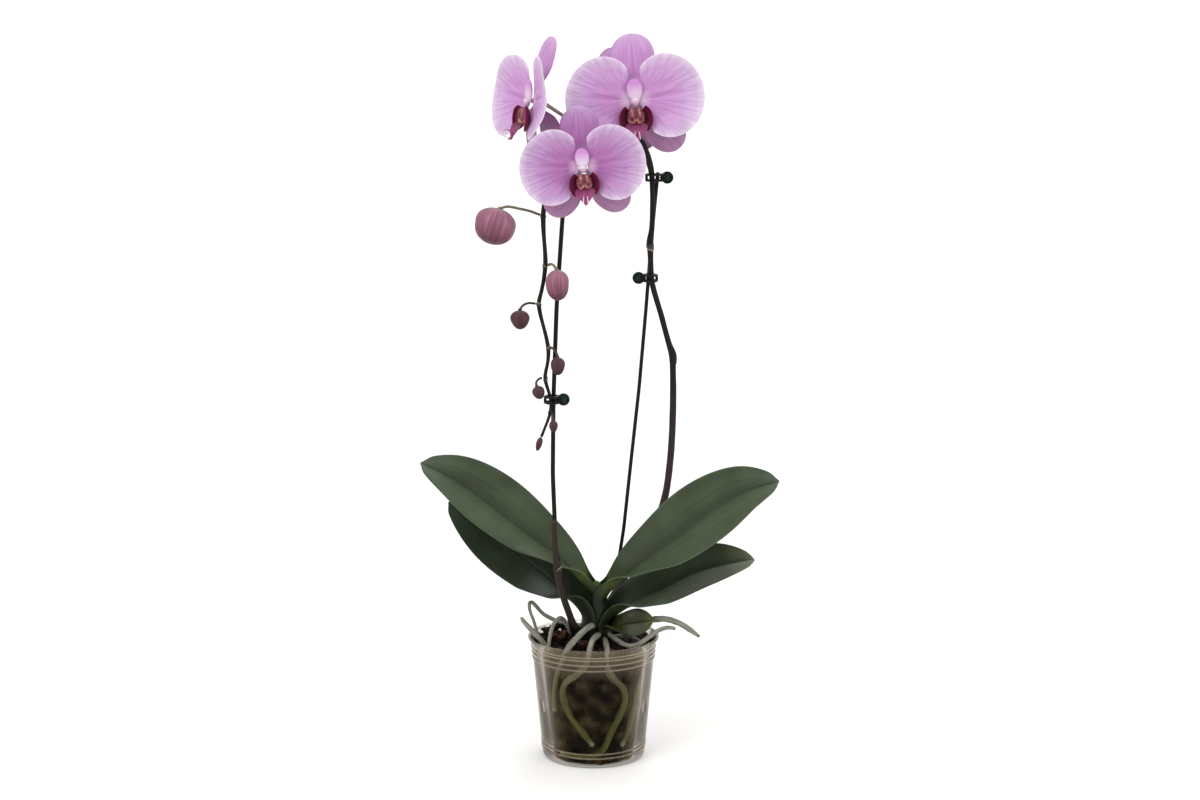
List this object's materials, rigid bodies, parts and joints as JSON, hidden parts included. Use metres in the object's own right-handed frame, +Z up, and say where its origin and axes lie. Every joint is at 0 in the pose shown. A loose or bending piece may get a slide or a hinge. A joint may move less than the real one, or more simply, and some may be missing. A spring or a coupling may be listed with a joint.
{
  "type": "potted orchid",
  "caption": "Moth orchid with arching flower spike, strap leaves and aerial roots, staked in a clear bark-filled pot.",
  "frame": {"origin": "centre of the flat underside of the pot", "axes": "+Z up along the pot's axis, -Y towards the side that the two front flowers face, +X to the right when seen from that side"},
  "size_m": [0.331, 0.176, 0.6597],
  "materials": {
    "clear_pot": "gloss",
    "bark": "matte",
    "crown": "satin",
    "leaf": "satin",
    "spike": "satin",
    "stake": "satin",
    "clip": "gloss",
    "petal": "matte",
    "sepal": "matte",
    "lip": "satin",
    "column": "satin",
    "bud": "matte",
    "root": "matte"
  },
  "bodies": {
    "root": {"pot": "clear_pot", "potting_bark": "bark", "crown_stem": "crown", "leaf_upper_left": "leaf", "leaf_upper_right": "leaf", "leaf_lower_left": "leaf", "leaf_lower_right": "leaf", "leaf_basal_right": "leaf", "flower_spike": "spike", "spike_stub": "spike", "stake_left": "stake", "stake_right": "stake", "clip_top": "clip", "clip_middle": "clip", "clip_left": "clip", "flower_rear_petal_left": "petal", "flower_rear_petal_right": "petal", "flower_top_right_petal_left": "petal", "flower_top_right_petal_right": "petal", "flower_left_petal_left": "petal", "flower_left_petal_right": "petal", "flower_centre_petal_left": "petal", "flower_centre_petal_right": "petal", "flower_rear_sepal_dorsal": "sepal", "flower_rear_sepal_left": "sepal", "flower_rear_sepal_right": "sepal", "flower_top_right_sepal_dorsal": "sepal", "flower_top_right_sepal_left": "sepal", "flower_top_right_sepal_right": "sepal", "flower_left_sepal_dorsal": "sepal", "flower_left_sepal_left": "sepal", "flower_left_sepal_right": "sepal", "flower_centre_sepal_dorsal": "sepal", "flower_centre_sepal_left": "sepal", "flower_centre_sepal_right": "sepal", "flower_rear_lip": "lip", "flower_top_right_lip": "lip", "flower_left_lip": "lip", "flower_centre_lip": "lip", "flower_rear_column": "column", "flower_top_right_column": "column", "flower_left_column": "column", "flower_centre_column": "column", "bud_1": "bud", "bud_2": "bud", "bud_3": "bud", "bud_4": "bud", "bud_5": "bud", "bud_6": "bud", "bud_7": "bud", "root_front_left": "root", "root_front_centre": "root", "root_front_right": "root", "root_right_loop": "root", "root_right_over_rim": "root", "root_right_wall": "root", "root_left_loop": "root", "root_left_over_rim": "root", "root_arch": "root"}
  },
  "joints": []
}
